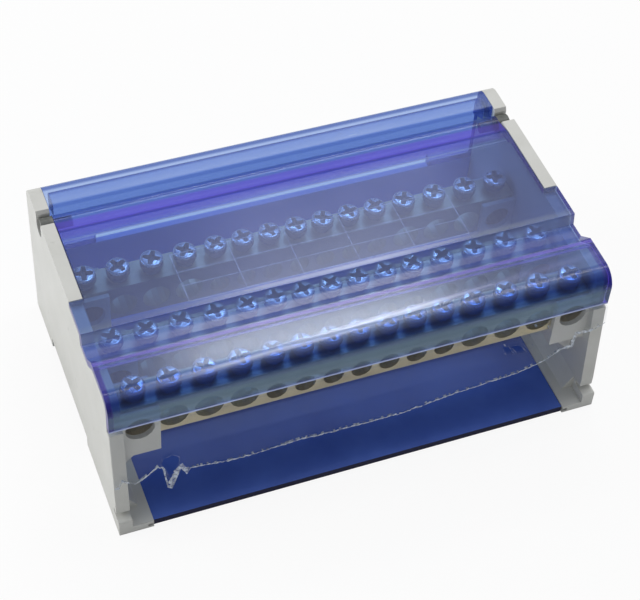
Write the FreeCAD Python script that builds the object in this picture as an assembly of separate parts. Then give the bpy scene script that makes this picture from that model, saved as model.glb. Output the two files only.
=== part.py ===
import FreeCAD, Part

import math
import os

from FreeCAD import Vector

# Power distribution block: three brass bars in two moulded end walls, a floor tray that
# clips on a mounting rail, a fixed rear hood and a see-through cover hinged at the rear.
# Units are millimetres. X runs along the bars, Y from the wire side to the rear, Z up.
# Profiles are drawn with y measured from the front face, and the finished solids are
# moved so that the origin is the centre of the underside.

# Overall size
length = 135.0
depth = 82.5
height = 48.0

# End walls
wall = 3.6
foot_reach = 9.2
foot_height = 2.4
hook_height = 5.2
hook_notch = 4.6
hook_notch_height = 1.2
front_low_y = 2.4
front_low_z = 9.2
front_top_y = 5.0
shoulder_drop = 12.4
rim_start_y = 39.3
ramp_start_y = 6.0
ramp_run = 3.1
ramp_rise = 4.6

# Hinged cover
skin = 1.8
cover_edge_y = 4.7
cover_edge_drop = 10.7
cover_corner_r = 5.0
front_level_end_y = 18.8
groove_start_y = 23.2
groove_end_y = 27.6
groove_depth = 3.6
riser_run = 0.6
cover_gap = 0.3
rear_bevel_run = 6.8
stiffener_run = 9.3
stiffener_depth = 1.2

# Cover hinge
hinge_inset = 13.2
hinge_drop = 3.5
barrel_r = 2.5
pin_r = 2.4
pin_gap = 0.1
pin_root_r = 1.5
pin_root_length = 5.0
snap_mouth = 4.4
pin_inset = 0.5

# Rear hood
hood_gap = 1.0
lobe_r = 4.0
hood_lip_depth = 5.5
hood_low_z = 24.0
rear_slot_length = 100.0
rear_slot_height = 2.2
hood_web = 1.6
hood_web_depth = 9.0
peg_r = 1.2
peg_length = 1.6

# Floor tray
floor_height = 2.0
floor_front_y = 0.6
tray_rear_gap = 0.2
tongue_height = 0.8
tongue_reach = 1.4
deck_lead = 1.8
deck_height = 5.4
joint_gap = 0.1
underside_rib = 1.6
underside_rib_pitch = 15.0

# Mounting rail seat
rail_width = 35.6
rail_rear_inset = 16.5
rail_seat_z = 3.4
rail_hook_reach = 1.7
rail_hook_height = 1.6

# Rail latches
latch_spacing = 70.0
latch_width = 16.0
latch_height = 2.6
latch_flange = 1.5
latch_flange_height = 1.2
latch_gap = 0.2
latch_nose = 1.6
latch_nose_height = 1.4
latch_tail_inset = 0.6
guide_thickness = 1.8
pry_slot_length = 5.0
pry_slot_width = 1.4

# Brass bars
bar_thickness = 8.0
bar_height = 12.0
bar_names = ("front", "middle", "rear")
front_bar_y = 12.4
rear_bar_inset = 11.7
middle_bar_share = 19.4 / 45.2
front_bar_drop = 8.0
middle_bar_step = 4.0
rear_bar_step = 7.8
bar_end_gap = 0.4

# Terminals along each bar: the steps are stretched to fill the run between the outer two,
# and holes and screws take shares of their step
large_per_end = 4
small_count = 7
terminal_inset = 8.35
large_step = 9.2
small_step = 7.65
meeting_step = 8.6
large_hole_share = 0.815
small_hole_share = 0.719
large_thread_share = 0.5435
small_thread_share = 0.523
wire_floor = 1.2
thread_gap = 0.05

# Terminal screws, drawn fully opened
head_height = 2.6
head_lift = 1.6
large_head_share = 0.685
small_head_share = 0.784
drive_depth = 1.2
drive_width = 1.1
drive_share = 0.72

# The 45 terminals repeat, so their round holes and screws are drawn with flats
wire_flat_count = 14
head_flat_count = 12
shank_flat_count = 8

# Bar cradles on the end walls
cradle_lead = 0.65
cradle_cheek = 1.4
cradle_floor = 5.0
cradle_top_drop = 1.0
cradle_gap = 0.1
corbel_thickness = 1.6
corbel_height = 11.0

# Broken front shield
shield_thickness = 0.8
shield_gap = 0.1

# Broken lower edge of the shield, chosen by eye: percent of the length from the left face,
# and percent of the shoulder's height
broken_edge = (
    (0.0, 48.3), (0.9, 47.5), (1.4, 53.9), (4.0, 48.3), (5.9, 52.2), (8.4, 59.8),
    (9.3, 56.2), (10.0, 36.0), (11.0, 33.4), (12.8, 52.5), (13.9, 44.4), (14.7, 50.0),
    (20.7, 46.9), (25.9, 46.1), (35.2, 48.3), (51.1, 46.9), (57.4, 47.2), (68.1, 52.5),
    (82.2, 57.3), (87.6, 62.6), (90.8, 69.9), (93.5, 70.2), (93.9, 82.0), (97.0, 81.2),
    (100.0, 86.5),
)
# Two punctures above the edge in the same percents: centre, half length, half height
punctures = ((11.0, 60.7, 1.5, 6.2), (84.6, 95.2, 2.9, 4.5))

half_length = length / 2.0
inner_x = half_length - wall
shoulder_z = height - shoulder_drop
cover_edge_z = height - cover_edge_drop
hinge_y = depth - hinge_inset
hinge_z = height - hinge_drop
hood_front_y = hinge_y + barrel_r + hood_gap
rear_bevel_y = hinge_y - rear_bevel_run
stiffener_start_y = hinge_y - stiffener_run
rear_bar_y = hinge_y - rear_bar_inset
middle_bar_y = front_bar_y + middle_bar_share * (rear_bar_y - front_bar_y)
bar_y = [front_bar_y, middle_bar_y, rear_bar_y]
bar_top_z = [height - front_bar_drop - step for step in (0.0, middle_bar_step, rear_bar_step)]
cover_under = height - skin
groove_z = height - groove_depth
rail_rear_y = depth - rail_rear_inset
rail_front_y = rail_rear_y - rail_width
deck_start_y = rail_front_y - deck_lead
tray_rear_y = depth - tray_rear_gap
terminal_count = 2 * large_per_end + small_count
terminal_run = length - 2 * terminal_inset
steps_run = 2 * ((large_per_end - 1) * large_step + meeting_step)
steps_run += (small_count - 1) * small_step
stretch = terminal_run / steps_run
large_pitch = large_step * stretch
small_pitch = small_step * stretch
mixed_pitch = meeting_step * stretch
large_wire_r = large_pitch * large_hole_share / 2.0
small_wire_r = small_pitch * small_hole_share / 2.0
large_head_r = large_pitch * large_head_share / 2.0
small_head_r = small_pitch * small_head_share / 2.0
large_thread_r = large_pitch * large_thread_share / 2.0
small_thread_r = small_pitch * small_thread_share / 2.0
cradle_reach = terminal_inset + large_pitch / 2.0 + cradle_lead


def corner_arc(before, corner, after, radius):
    """Start, middle and end points of the arc that rounds one corner."""
    to_before = (before - corner).normalize()
    to_after = (after - corner).normalize()
    half_angle = math.acos(max(-1.0, min(1.0, to_before.dot(to_after)))) / 2.0
    reach = radius / math.tan(half_angle)
    bisector = (to_before + to_after).normalize()
    centre = corner + bisector * (radius / math.sin(half_angle))
    return corner + to_before * reach, centre - bisector * radius, corner + to_after * reach


def inset(corners, distance):
    """Open line moved to its right by a distance, with mitred corners and adjusted radii."""
    normals = []
    for start, end in zip(corners, corners[1:]):
        run, rise = end[0] - start[0], end[1] - start[1]
        size = math.hypot(run, rise)
        normals.append((rise / size, -run / size))
    moved = []
    for index, corner in enumerate(corners):
        before = normals[max(index - 1, 0)]
        after = normals[min(index, len(normals) - 1)]
        share = distance / (1.0 + before[0] * after[0] + before[1] * after[1])
        place = (corner[0] + share * (before[0] + after[0]),
                 corner[1] + share * (before[1] + after[1]))
        if len(corner) == 3:
            place += (corner[2] - distance,)
        moved.append(place)
    return moved


def outline_wire(corners, place):
    """Closed wire through corners (u, v) or (u, v, radius), mapped to space by place."""
    points = [place(corner[0], corner[1]) for corner in corners]
    stretches = []
    for index, corner in enumerate(corners):
        point = points[index]
        if len(corner) < 3:
            stretches.append((point, None, point))
            continue
        after = points[(index + 1) % len(points)]
        stretches.append(corner_arc(points[index - 1], point, after, corner[2]))
    edges = []
    for index, (start, middle, end) in enumerate(stretches):
        if middle is not None:
            edges.append(Part.Arc(start, middle, end).toShape())
        following = stretches[(index + 1) % len(stretches)][0]
        if end.distanceToPoint(following) > 1e-6:
            edges.append(Part.LineSegment(end, following).toShape())
    return Part.Wire(edges)


def side_profile(corners, x_from, x_to):
    """Solid with a YZ profile, running along X."""
    wire = outline_wire(corners, lambda y, z: Vector(x_from, y, z))
    return Part.Face(wire).extrude(Vector(x_to - x_from, 0, 0))


def front_profile(corners, y_from, y_to):
    """Solid with an XZ profile, running along Y."""
    wire = outline_wire(corners, lambda x, z: Vector(x, y_from, z))
    return Part.Face(wire).extrude(Vector(0, y_to - y_from, 0))


def block(x_from, x_to, y_from, y_to, z_from, z_to):
    corner = Vector(x_from, y_from, z_from)
    return Part.makeBox(x_to - x_from, y_to - y_from, z_to - z_from, corner)


def rod_x(radius, x_from, x_to, y, z):
    return Part.makeCylinder(radius, x_to - x_from, Vector(x_from, y, z), Vector(1, 0, 0))


def regular(flats, radius):
    """Corners of a regular outline with a flat at the top, closed on its first corner."""
    turns = [2.0 * math.pi * (index + 0.5) / flats for index in range(flats + 1)]
    return [(radius * math.cos(turn), radius * math.sin(turn)) for turn in turns]


def prism_y(flats, radius, y_from, y_to, x, z):
    """Level prism whose flats touch a circle of the given radius, for a repeated hole."""
    corner_radius = radius / math.cos(math.pi / flats)
    outline = [Vector(x + u, y_from, z + v) for u, v in regular(flats, corner_radius)]
    return Part.Face(Part.makePolygon(outline)).extrude(Vector(0, y_to - y_from, 0))


def prism_z(flats, radius, z_from, z_to, x, y):
    """Upright prism with its corners on the given radius, for a repeated pin or hole."""
    outline = [Vector(x + u, y + v, z_from) for u, v in regular(flats, radius)]
    return Part.Face(Part.makePolygon(outline)).extrude(Vector(0, 0, z_to - z_from))


def terminal_places():
    """X of every terminal, and whether it is a large one."""
    sizes = [True] * large_per_end + [False] * small_count + [True] * large_per_end
    places = [0.0]
    for index in range(1, terminal_count):
        pair = (sizes[index - 1], sizes[index])
        step = mixed_pitch
        if pair == (True, True):
            step = large_pitch
        elif pair == (False, False):
            step = small_pitch
        places.append(places[-1] + step)
    middle = places[-1] / 2.0
    return [(x - middle, large) for x, large in zip(places, sizes)]


def wire_radius(large):
    return large_wire_r if large else small_wire_r


def bar_bottom(row):
    return bar_top_z[row] - bar_height


def wire_height(row, large):
    """Height of a wire hole's axis: every hole ends the same distance above the underside."""
    return bar_bottom(row) + wire_floor + wire_radius(large)


def cover_line():
    """Outer line of the cover from its front edge to the start of the wall rims."""
    return [
        (cover_edge_y, cover_edge_z),
        (cover_edge_y, height, cover_corner_r),
        (front_level_end_y, height),
        (groove_start_y, groove_z),
        (groove_end_y, groove_z),
        (groove_end_y + riser_run, height),
        (rim_start_y, height),
    ]


def wall_outline():
    """Side view of the end wall, from the foot round under the cover and over the rim."""
    under_cover = inset(cover_line(), skin + cover_gap)
    seat_y = under_cover[0][0]
    return [
        (0.0, 0.0),
        (0.0, hook_height, 0.5),
        (hook_notch, hook_height),
        (hook_notch, hook_height + hook_notch_height),
        (front_low_y, hook_height + hook_notch_height),
        (front_low_y, front_low_z),
        (front_top_y, shoulder_z),
        (seat_y, shoulder_z),
    ] + under_cover[1:] + [
        (rim_start_y, height),
        (depth, height, lobe_r),
        (depth, 0.0),
        (rail_rear_y, 0.0),
        (rail_rear_y, rail_seat_z),
        (rail_front_y, rail_seat_z),
        (rail_front_y, 0.0),
    ]


def hinge_slot():
    """Snap slot for the cover's pin: a round seat below a narrower mouth."""
    seat = rod_x(pin_r + pin_gap, -half_length - 1, -inner_x + 1, hinge_y, hinge_z)
    half_mouth = snap_mouth / 2.0
    mouth = block(-half_length - 1, -inner_x + 1, hinge_y - half_mouth, hinge_y + half_mouth,
                  hinge_z, height + 1)
    lead = side_profile([
        (hinge_y - pin_r - 0.3, height + 0.01),
        (hinge_y + pin_r + 0.3, height + 0.01),
        (hinge_y + half_mouth, hinge_z + pin_r),
        (hinge_y - half_mouth, hinge_z + pin_r),
    ], -half_length - 1, -inner_x + 1)
    return seat.fuse([mouth, lead])


def cradle(row):
    """Open-topped cradle for one end of a bar, with the first wire's hole in its cheek."""
    reach = -half_length + cradle_reach
    front = bar_y[row] - bar_thickness / 2.0 - cradle_gap
    rear = bar_y[row] + bar_thickness / 2.0 + cradle_gap
    bottom = bar_bottom(row) - cradle_gap
    top = bar_top_z[row] - cradle_top_drop
    body = block(-inner_x - 0.5, reach, front - cradle_cheek, rear + cradle_cheek,
                 bottom - cradle_floor, top)
    pocket = block(-inner_x, reach + 1, front, rear, bottom, top + 1)
    return body, pocket


def cradle_wire_hole(row):
    x, large = terminal_places()[0]
    front = bar_y[row] - bar_thickness / 2.0 - cradle_gap - cradle_cheek
    return prism_y(wire_flat_count, wire_radius(large), front - 1, front + cradle_cheek + 1, x,
                   wire_height(row, large))


def foot():
    """Foot flange inside the wall, grooved for the floor's tongue, with its ramp."""
    inner = -half_length + foot_reach
    flange = block(-inner_x - 0.5, inner, 0.0, deck_start_y - joint_gap, 0.0, foot_height)
    groove_low = (floor_height - tongue_height) / 2.0 - joint_gap
    groove = block(inner - tongue_reach - joint_gap, inner + 1, floor_front_y - 1, deck_start_y,
                   groove_low, groove_low + tongue_height + 2 * joint_gap)
    ramp = front_profile([
        (-inner_x - 0.5, foot_height - 0.5),
        (-inner_x + ramp_run, foot_height - 0.5),
        (-inner_x + ramp_run, foot_height),
        (-inner_x, foot_height + ramp_rise),
        (-inner_x - 0.5, foot_height + ramp_rise),
    ], ramp_start_y, deck_start_y - joint_gap)
    return flange.cut(groove).fuse(ramp)


def corbel():
    """Bracket under the front cradle, back to the wall."""
    top = bar_bottom(0) - cradle_gap - cradle_floor
    start = bar_y[0] - corbel_thickness / 2.0
    return front_profile([
        (-inner_x - 0.5, top + 0.5),
        (-half_length + cradle_reach, top + 0.5),
        (-half_length + cradle_reach, top),
        (-inner_x, top - corbel_height),
        (-inner_x - 0.5, top - corbel_height),
    ], start, start + corbel_thickness)


def peg_places():
    """Centres of the hood's pegs, as y and z."""
    low_y = tray_rear_y - skin - peg_r - 1.0
    return ((low_y, height - lobe_r - peg_r - 1.0),)


def end_wall():
    """Left end wall. The right one is its mirror image."""
    plate = side_profile(wall_outline(), -half_length, -inner_x)
    pieces = [foot(), corbel()]
    pockets = [hinge_slot()]
    for row in range(len(bar_names)):
        body, pocket = cradle(row)
        pieces.append(body)
        pockets.append(pocket)
        pockets.append(cradle_wire_hole(row))
    for y, z in peg_places():
        pockets.append(rod_x(peg_r + joint_gap, -inner_x - peg_length - joint_gap,
                             -inner_x + 1, y, z))
    return plate.fuse(pieces).cut(Part.makeCompound(pockets)).removeSplitter()


def cover_section(with_hinge):
    """Side view of the cover's skin: outer line forward, inner line back."""
    if with_hinge:
        outer = cover_line()[:-1] + [(rear_bevel_y, height)]
        tail = [
            (hinge_y - barrel_r * 0.4, hinge_z + barrel_r * 0.92),
            (hinge_y, hinge_z),
            (hinge_y - barrel_r * 0.9, hinge_z),
            (stiffener_start_y + 2 * stiffener_depth, cover_under - stiffener_depth),
            (stiffener_start_y + stiffener_depth, cover_under - stiffener_depth),
            (stiffener_start_y, cover_under),
        ]
        inner = inset(outer, skin)[:-1]
    else:
        outer = cover_line()[:-1] + [(rim_start_y - cover_gap, height)]
        tail = []
        inner = inset(outer, skin)
    return outer + tail + inner[::-1]


def hinged_cover():
    """Cover: full width over the front, between the rims at the rear, with its barrel."""
    half_rear = inner_x - cover_gap
    wide = side_profile(cover_section(False), -half_length, half_length)
    narrow = side_profile(cover_section(True), -half_rear, half_rear)
    barrel = rod_x(barrel_r, -half_rear, half_rear, hinge_y, hinge_z)
    root_holes = Part.makeCompound([
        rod_x(pin_root_r, -half_rear - 1, -half_rear + pin_root_length, hinge_y, hinge_z),
        rod_x(pin_root_r, half_rear - pin_root_length, half_rear + 1, hinge_y, hinge_z),
    ])
    return wide.fuse([narrow, barrel]).cut(root_holes).removeSplitter()


def hinge_pin():
    """Left hinge pin: a thin root in the cover's barrel and a thick end in the wall."""
    shoulder = -(inner_x - cover_gap)
    root = rod_x(pin_root_r, shoulder, shoulder + pin_root_length, hinge_y, hinge_z)
    end = rod_x(pin_r, -half_length + pin_inset, shoulder, hinge_y, hinge_z)
    return end.fuse(root).removeSplitter()


def rear_hood():
    """Fixed hood over the rear edge, with end webs pegged to the walls."""
    half = inner_x - joint_gap
    rear = tray_rear_y
    corner_r = lobe_r - 0.3
    shell = side_profile([
        (hood_front_y, height - hood_lip_depth),
        (hood_front_y, height, 1.0),
        (rear, height, corner_r),
        (rear, hood_low_z - rear_slot_height),
        (rear - skin, hood_low_z - rear_slot_height),
        (rear - skin, height - skin, corner_r - skin),
        (hood_front_y + skin, height - skin),
        (hood_front_y + skin, height - hood_lip_depth),
    ], -half, half)
    slot = block(-rear_slot_length / 2.0, rear_slot_length / 2.0, rear - skin - 1, rear + 1,
                 hood_low_z - rear_slot_height - 1, hood_low_z)
    web_outline = [
        (hood_front_y + skin / 2.0, height - skin / 2.0),
        (rear - skin / 2.0, height - skin / 2.0, corner_r - skin / 2.0),
        (rear - skin / 2.0, height - hood_web_depth),
        (hood_front_y + skin / 2.0, height - hood_lip_depth),
    ]
    extras = []
    for side in (-1, 1):
        inner_face = side * (half - hood_web)
        extras.append(side_profile(web_outline, *sorted((side * half, inner_face))))
        for y, z in peg_places():
            tip = side * (inner_x + peg_length)
            extras.append(rod_x(peg_r, *sorted((side * half, tip)), y, z))
    return shell.cut(slot).fuse(extras).removeSplitter()


def latch_centres():
    return (-latch_spacing / 2.0, latch_spacing / 2.0)


def latch_base_z():
    return rail_seat_z - latch_gap - latch_height


def latch_guides(centre):
    """Two L-shaped guides under the deck that carry one latch."""
    half_body = latch_width / 2.0 - latch_flange
    guides = []
    for side in (-1, 1):
        web_inner = latch_width / 2.0 + latch_gap
        web_outer = web_inner + guide_thickness
        lip_inner = half_body + latch_gap
        lip_top = rail_seat_z - latch_gap * 2 - latch_flange_height
        low = latch_base_z() - latch_gap
        web = sorted((centre + side * web_inner, centre + side * web_outer))
        lip = sorted((centre + side * lip_inner, centre + side * web_outer))
        guides.append(block(web[0], web[1], rail_rear_y, tray_rear_y, low, rail_seat_z + 0.5))
        guides.append(block(lip[0], lip[1], rail_rear_y, tray_rear_y, low, lip_top))
    return guides


def rail_latch(centre):
    """Sliding latch: flanged body, nose under the rail's edge and a slot to pry it back."""
    low = latch_base_z()
    top = low + latch_height
    half = latch_width / 2.0
    half_body = half - latch_flange
    tail = tray_rear_y - latch_tail_inset
    start = rail_rear_y + latch_gap
    body = block(centre - half_body, centre + half_body, start, tail, low, top)
    flanges = block(centre - half, centre + half, start, tail, top - latch_flange_height, top)
    nose = side_profile([
        (start + 1.0, low),
        (rail_rear_y - latch_nose, low),
        (rail_rear_y - latch_nose, low + latch_nose_height * 0.5),
        (rail_rear_y, low + latch_nose_height),
        (start + 1.0, low + latch_nose_height),
    ], centre - half_body, centre + half_body)
    pry = block(centre - pry_slot_length / 2.0, centre + pry_slot_length / 2.0,
                tail - 2 * pry_slot_width, tail - pry_slot_width, low - 1, top + 1)
    return body.fuse([flanges, nose]).cut(pry).removeSplitter()


def base_tray():
    """Floor, raised deck over the rail seat, rear wall, fixed rail hooks and latch guides."""
    half = inner_x - joint_gap
    floor_half = half_length - foot_reach - joint_gap
    floor = block(-floor_half, floor_half, floor_front_y, deck_start_y + 1, 0.0, floor_height)
    tongue_low = (floor_height - tongue_height) / 2.0
    tongue_half = floor_half + tongue_reach
    tongue = block(-tongue_half, tongue_half, floor_front_y + 1, deck_start_y - 1,
                   tongue_low, tongue_low + tongue_height)
    deck = side_profile([
        (deck_start_y, 0.0),
        (deck_start_y, deck_height),
        (tray_rear_y - skin, deck_height),
        (tray_rear_y - skin, hood_low_z - rear_slot_height),
        (tray_rear_y, hood_low_z - rear_slot_height),
        (tray_rear_y, rail_seat_z),
        (rail_front_y, rail_seat_z),
        (rail_front_y, rail_hook_height + 0.4),
        (rail_front_y + rail_hook_reach, rail_hook_height),
        (rail_front_y + rail_hook_reach, 0.0),
    ], -half, half)
    low = 0.0
    ribs = [block(-half, half, rail_rear_y, rail_rear_y + underside_rib, low, rail_seat_z + 0.5)]
    ribs.append(block(-half, half, tray_rear_y - underside_rib, tray_rear_y, low,
                      rail_seat_z + 0.5))
    rib_count = int(2 * half / underside_rib_pitch)
    for index in range(rib_count + 1):
        x = -half + underside_rib / 2.0 + index * (2 * half - underside_rib) / rib_count
        ribs.append(block(x - underside_rib / 2.0, x + underside_rib / 2.0, rail_rear_y,
                          tray_rear_y, low, rail_seat_z + 0.5))
    rib_frame = ribs[0].fuse(ribs[1:])
    lanes = []
    for centre in latch_centres():
        lane_half = latch_width / 2.0 + latch_gap + guide_thickness
        lanes.append(block(centre - lane_half, centre + lane_half, rail_rear_y - 1,
                           tray_rear_y + 1, -1, rail_seat_z))
    frame = rib_frame.cut(Part.makeCompound(lanes))
    guides = []
    for centre in latch_centres():
        guides.extend(latch_guides(centre))
    return floor.fuse([tongue, deck, frame] + guides).removeSplitter()


def busbar(row):
    """Brass bar with a cross hole for each wire and a tapped hole above it."""
    half = inner_x - bar_end_gap
    bottom = bar_bottom(row)
    y_from = bar_y[row] - bar_thickness / 2.0
    bar = block(-half, half, y_from, y_from + bar_thickness, bottom, bar_top_z[row])
    holes = []
    for x, large in terminal_places():
        z = wire_height(row, large)
        thread_r = (large_thread_r if large else small_thread_r) + thread_gap
        holes.append(prism_y(wire_flat_count, wire_radius(large), y_from - 1,
                             y_from + bar_thickness + 1, x, z))
        holes.append(prism_z(shank_flat_count, thread_r, z, bar_top_z[row] + 1, x, bar_y[row]))
    return bar.cut(Part.makeCompound(holes))


def screw(x, row, large):
    """Terminal screw with a cross recess, standing open above its bar."""
    head_r = large_head_r if large else small_head_r
    shank_r = large_thread_r if large else small_thread_r
    head_low = bar_top_z[row] + head_lift
    tip = wire_height(row, large) + wire_radius(large)
    y = bar_y[row]
    head = prism_z(head_flat_count, head_r, head_low, head_low + head_height, x, y)
    shank = prism_z(shank_flat_count, shank_r, tip, head_low + 0.1, x, y)
    reach = head_r * drive_share
    half = drive_width / 2.0
    top = head_low + head_height
    along_x = block(x - reach, x + reach, y - half, y + half, top - drive_depth, top + 1)
    along_y = block(x - half, x + half, y - reach, y + reach, top - drive_depth, top + 1)
    return head.fuse(shank).cut(along_x.fuse(along_y))


def screws(row, large):
    chosen = [screw(x, row, large) for x, is_large in terminal_places() if is_large == large]
    return Part.makeCompound(chosen)


def front_shield():
    """Clear shield over the wire side: flange on the wall shoulders, lower edge broken off."""
    slope = (front_top_y - front_low_y) / (shoulder_z - front_low_z)
    edge = [(x * length / 100.0, z * shoulder_z / 100.0) for x, z in broken_edge]
    low = min(z for _, z in edge) - 1.0
    low_y = front_top_y - slope * (shoulder_z - low)
    rear_y = cover_edge_y + skin + cover_gap - shield_gap
    seat = shoulder_z + shield_gap
    top = seat + shield_thickness
    sheet = side_profile([
        (low_y - shield_thickness - shield_gap, low),
        (front_top_y - shield_thickness - shield_gap, top),
        (rear_y, top),
        (rear_y, seat),
        (front_top_y - shield_gap, seat),
        (low_y - shield_gap, low),
    ], -half_length, half_length)
    below = [(x - half_length, z) for x, z in edge]
    below.insert(0, (-half_length - 1, below[0][1]))
    below.append((half_length + 1, below[-1][1]))
    below += [(half_length + 1, 0.0), (-half_length - 1, 0.0)]
    lost = [front_profile(below, 0.0, rear_y + 1)]
    for x_share, z_share, half_x_share, half_z_share in punctures:
        x = x_share * length / 100.0 - half_length
        z = z_share * shoulder_z / 100.0
        half_x = half_x_share * length / 100.0
        half_z = half_z_share * shoulder_z / 100.0
        lost.append(front_profile([
            (x - half_x, z - half_z * 0.3),
            (x - half_x * 0.3, z + half_z * 0.5),
            (x + half_x * 0.4, z + half_z),
            (x + half_x, z + half_z * 0.2),
            (x + half_x * 0.5, z - half_z * 0.4),
            (x - half_x * 0.2, z - half_z),
        ], 0.0, rear_y + 1))
    return sheet.cut(Part.makeCompound(lost))


def mirrored(shape):
    return shape.mirror(Vector(0, 0, 0), Vector(1, 0, 0))


def assembly():
    """Every node's shape, by name."""
    left_wall = end_wall()
    left_pin = hinge_pin()
    nodes = {
        "left_end_wall": left_wall,
        "right_end_wall": mirrored(left_wall),
        "base_tray": base_tray(),
        "rear_hood": rear_hood(),
        "hinged_cover": hinged_cover(),
        "hinge_pin_left": left_pin,
        "hinge_pin_right": mirrored(left_pin),
        "front_shield": front_shield(),
    }
    for centre, side in zip(latch_centres(), ("left", "right")):
        nodes["rail_latch_" + side] = rail_latch(centre)
    for row, name in enumerate(bar_names):
        nodes["busbar_" + name] = busbar(row)
        nodes["large_screws_" + name] = screws(row, True)
        nodes["small_screws_" + name] = screws(row, False)
    return nodes


def main():
    os.makedirs("parts", exist_ok=True)
    for name, shape in assembly().items():
        shape.translate(Vector(0, -depth / 2.0, 0))
        shape.exportStep("parts/" + name + ".step")
        box = shape.BoundBox
        print(name, "solids", len(shape.Solids), "valid", shape.isValid(),
              "volume", round(shape.Volume, 1),
              "x", round(box.XMin, 2), round(box.XMax, 2),
              "y", round(box.YMin, 2), round(box.YMax, 2),
              "z", round(box.ZMin, 2), round(box.ZMax, 2))


main()
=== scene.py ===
import math
import random

import bmesh
import bpy
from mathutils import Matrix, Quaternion, Vector
from mathutils.geometry import delaunay_2d_cdt


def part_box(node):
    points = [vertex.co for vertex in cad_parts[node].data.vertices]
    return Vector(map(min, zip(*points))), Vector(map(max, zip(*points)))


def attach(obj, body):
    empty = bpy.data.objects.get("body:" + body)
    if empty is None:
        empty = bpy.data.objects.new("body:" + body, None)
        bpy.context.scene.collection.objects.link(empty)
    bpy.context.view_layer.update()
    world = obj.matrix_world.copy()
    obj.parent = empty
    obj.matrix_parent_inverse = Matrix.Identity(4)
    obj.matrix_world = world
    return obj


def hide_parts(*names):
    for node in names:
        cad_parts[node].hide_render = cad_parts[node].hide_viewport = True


MM = 0.001
X, Y, Z = range(3)

# Camera at the photograph's viewing angle: places in millimetres, roll in degrees, lens and
# sensor in millimetres, clipping in metres
CAMERA_PLACE = (-124.26, -281.42, 373.25)
CAMERA_AIM = (0.86, -1.45, 24.0)
CAMERA_ROLL = 4.59
CAMERA_LENS = 97.0
CAMERA_SENSOR = 36.0
CAMERA_CLIP = (0.01, 20.0)

# Lamps: name, place, aim and size in metres, and power in watts
LAMPS = (
    ("overhead", (0.23, 0.10, 0.80), (0.0, 0.0, 0.02), (0.26, 0.40), 1.8),
    ("ceiling", (0.28, 0.60, 0.80), (0.28, 0.60, 0.0), (0.62, 0.34), 1.0),
    ("window", (0.24, 0.535, 0.79), (0.24, 0.535, 0.0), (0.22, 0.05), 0.75),
    ("left", (-0.85, 0.35, 0.40), (0.0, 0.0, 0.02), (0.6, 0.6), 5.3),
)

# Studio floor in metres, its grey, and how much of the plain white it shows to the camera
FLOOR_HALF = 3.0
FLOOR_DROP = 0.0002
FLOOR_GREY = (0.86, 0.86, 0.86, 1.0)
FLOOR_WHITE_SHARE = 0.91
WORLD_COLOUR = (0.95, 0.97, 1.0, 1.0)
WORLD_STRENGTH = 0.38
WHITE = (1.0, 1.0, 1.0, 1.0)

# A face looks along an axis where its normal has more than this along it
SQUARE_ON = 0.9

# Blue plastic: its colour for light that passes it unseen, how milky its cut ends are, and the
# slant of the glare along the cover's front ridge
LIGHT_TINT = (0.75, 0.84, 0.955)
END_HAZE = 0.62
RIDGE_SLANT = 0.0515

# Terminals in millimetres, as in the model
BAR_NAMES = ("front", "middle", "rear")
BAR_Y = (-28.85, -9.45, 16.35)
BAR_TOP = (40.0, 36.0, 32.2)
LARGE_PER_END = 4
SMALL_COUNT = 7
LARGE_PITCH = 9.2
SMALL_PITCH = 7.65
MIXED_PITCH = 8.6

# Screws in millimetres: where there are two sizes, True is the large one
HEAD_LIFT = 1.6
HEAD_HEIGHT = 2.6
HEAD_RADIUS = {True: 3.15, False: 3.0}
SHANK_RADIUS = {True: 2.5, False: 2.0}
SHANK_LENGTH = {True: 4.9, False: 6.9}
THREAD_PITCH = 0.8
THREAD_START = 0.35

# Form of a screw: turned outlines and the recess as shares of radius and height or length
HEAD_STEPS = 48
SHANK_STEPS = 24
SHARP_ANGLE = 38.0
SCREW_SEED = 7
SHANK_NECK = 0.9
HEAD_OUTLINE = ((0.96, 0.0), (1.0, 0.08), (1.0, 0.72), (0.97, 0.86), (0.90, 0.95), (0.78, 1.0))
# Ring of the head's outline whose faces take the steel darkened as painted shade
SHADED_HEAD_RING = 2
RECESS_REACH = 0.74
RECESS_HALF_WIDTH = 0.20
RECESS_ROOT = 0.25
RECESS_TIP = 1.06
RECESS_FLOOR_SHARE = 0.72
RECESS_FLOOR_HEIGHT = 0.42
THREAD_ROOT = 0.88
SHANK_END = ((0.86, 0.985), (0.7, 1.0))

# Broken clear shield in millimetres: its torn lower edge and its ragged holes are given as
# distance from the left face and height
HALF_LENGTH = 67.5
TORN_EDGE = (
    (0.0, 17.2), (1.2, 16.9), (1.9, 19.2), (5.4, 17.2), (8.0, 18.6), (11.4, 21.3),
    (12.6, 20.0), (13.5, 12.8), (14.8, 11.9), (17.3, 18.7), (18.7, 15.8), (19.8, 17.8),
    (28.0, 16.7), (35.0, 16.4), (47.5, 17.2), (69.0, 16.7), (77.5, 16.8), (92.0, 18.7),
    (111.0, 20.4), (118.3, 22.3), (122.6, 24.9), (126.2, 25.0), (126.8, 29.2),
    (130.9, 28.9), (135.0, 30.8),
)
HOLES = (
    ((12.2, 21.6), (12.9, 23.9), (15.4, 24.4), (17.0, 23.2), (16.9, 20.4), (15.6, 17.6),
     (14.2, 15.6), (13.9, 17.6), (13.3, 19.9)),
    ((110.2, 35.2), (111.4, 36.0), (114.5, 36.2), (117.4, 36.1), (118.2, 35.4),
     (117.9, 34.2), (116.2, 33.2), (113.4, 33.5), (111.7, 34.3)),
    ((104.9, 31.9), (106.7, 31.6), (108.6, 28.2), (106.3, 28.7)),
    ((107.4, 31.4), (110.0, 31.0), (112.3, 27.5), (109.5, 27.9)),
    ((110.9, 30.9), (113.2, 30.4), (114.4, 28.3), (112.4, 28.9)),
)
SHEET_TOP_Z = 36.5
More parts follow.
